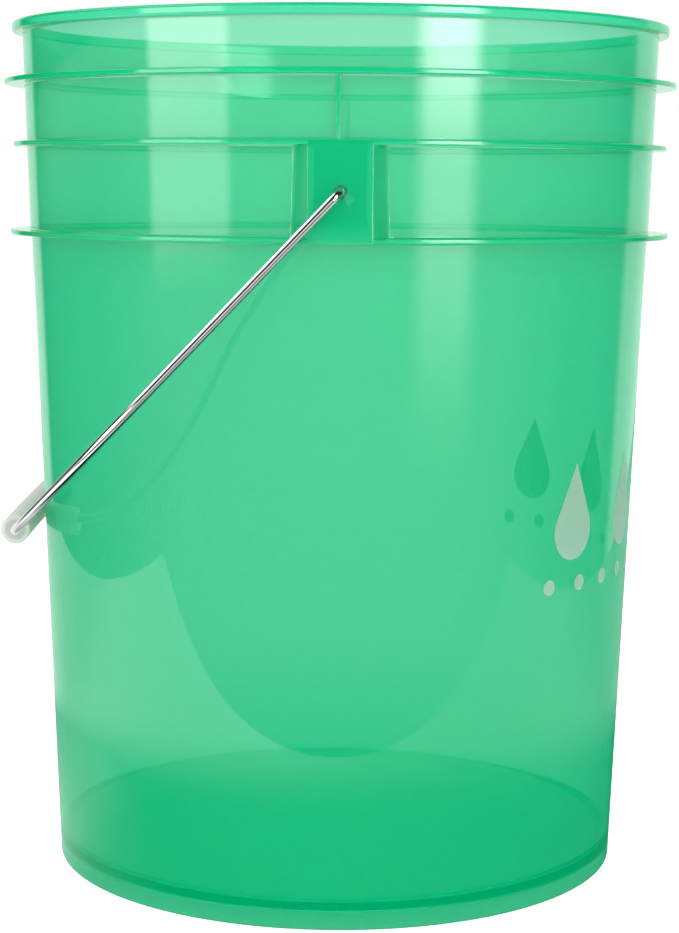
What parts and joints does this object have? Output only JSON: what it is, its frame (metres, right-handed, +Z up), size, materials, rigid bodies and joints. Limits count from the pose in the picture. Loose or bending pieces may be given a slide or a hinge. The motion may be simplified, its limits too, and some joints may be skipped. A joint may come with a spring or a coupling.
{
  "type": "wash bucket",
  "caption": "Round see-through wash bucket with a rolled rim, stacking rings, bail ears and a swinging wire bail with a tube grip.",
  "frame": {"origin": "on the bucket's axis, in the plane of the foot ring that it stands on", "axes": "+Z up along the bucket's axis; Y through the two bail ears; the bail hangs on the -X side and the print is on the +X side"},
  "size_m": [0.2991, 0.3086, 0.375],
  "materials": {
    "bucket_plastic": "clear green moulded polypropylene",
    "bail_wire": "bright zinc plated steel wire",
    "grip_plastic": "natural see-through polyethylene tube",
    "print_ink": "pale screen printed ink"
  },
  "bodies": {
    "bucket_body": {"bucket": "bucket_plastic", "side_print": "print_ink"},
    "bail": {"bail_wire": "bail_wire"},
    "grip": {"handle_grip": "grip_plastic"}
  },
  "joints": [
    {"name": "bail_swing", "type": "hinge", "parent": "bucket_body", "child": "bail", "pos_m": [0, 0, 0.303], "axis": [0, 1, 0], "range_deg": [0, 272.8]},
    {"name": "grip_spin", "type": "hinge", "parent": "bail", "child": "grip", "pos_m": [-0.14008, 0, 0.15566], "axis": [0, 1, 0], "continuous": true}
  ]
}
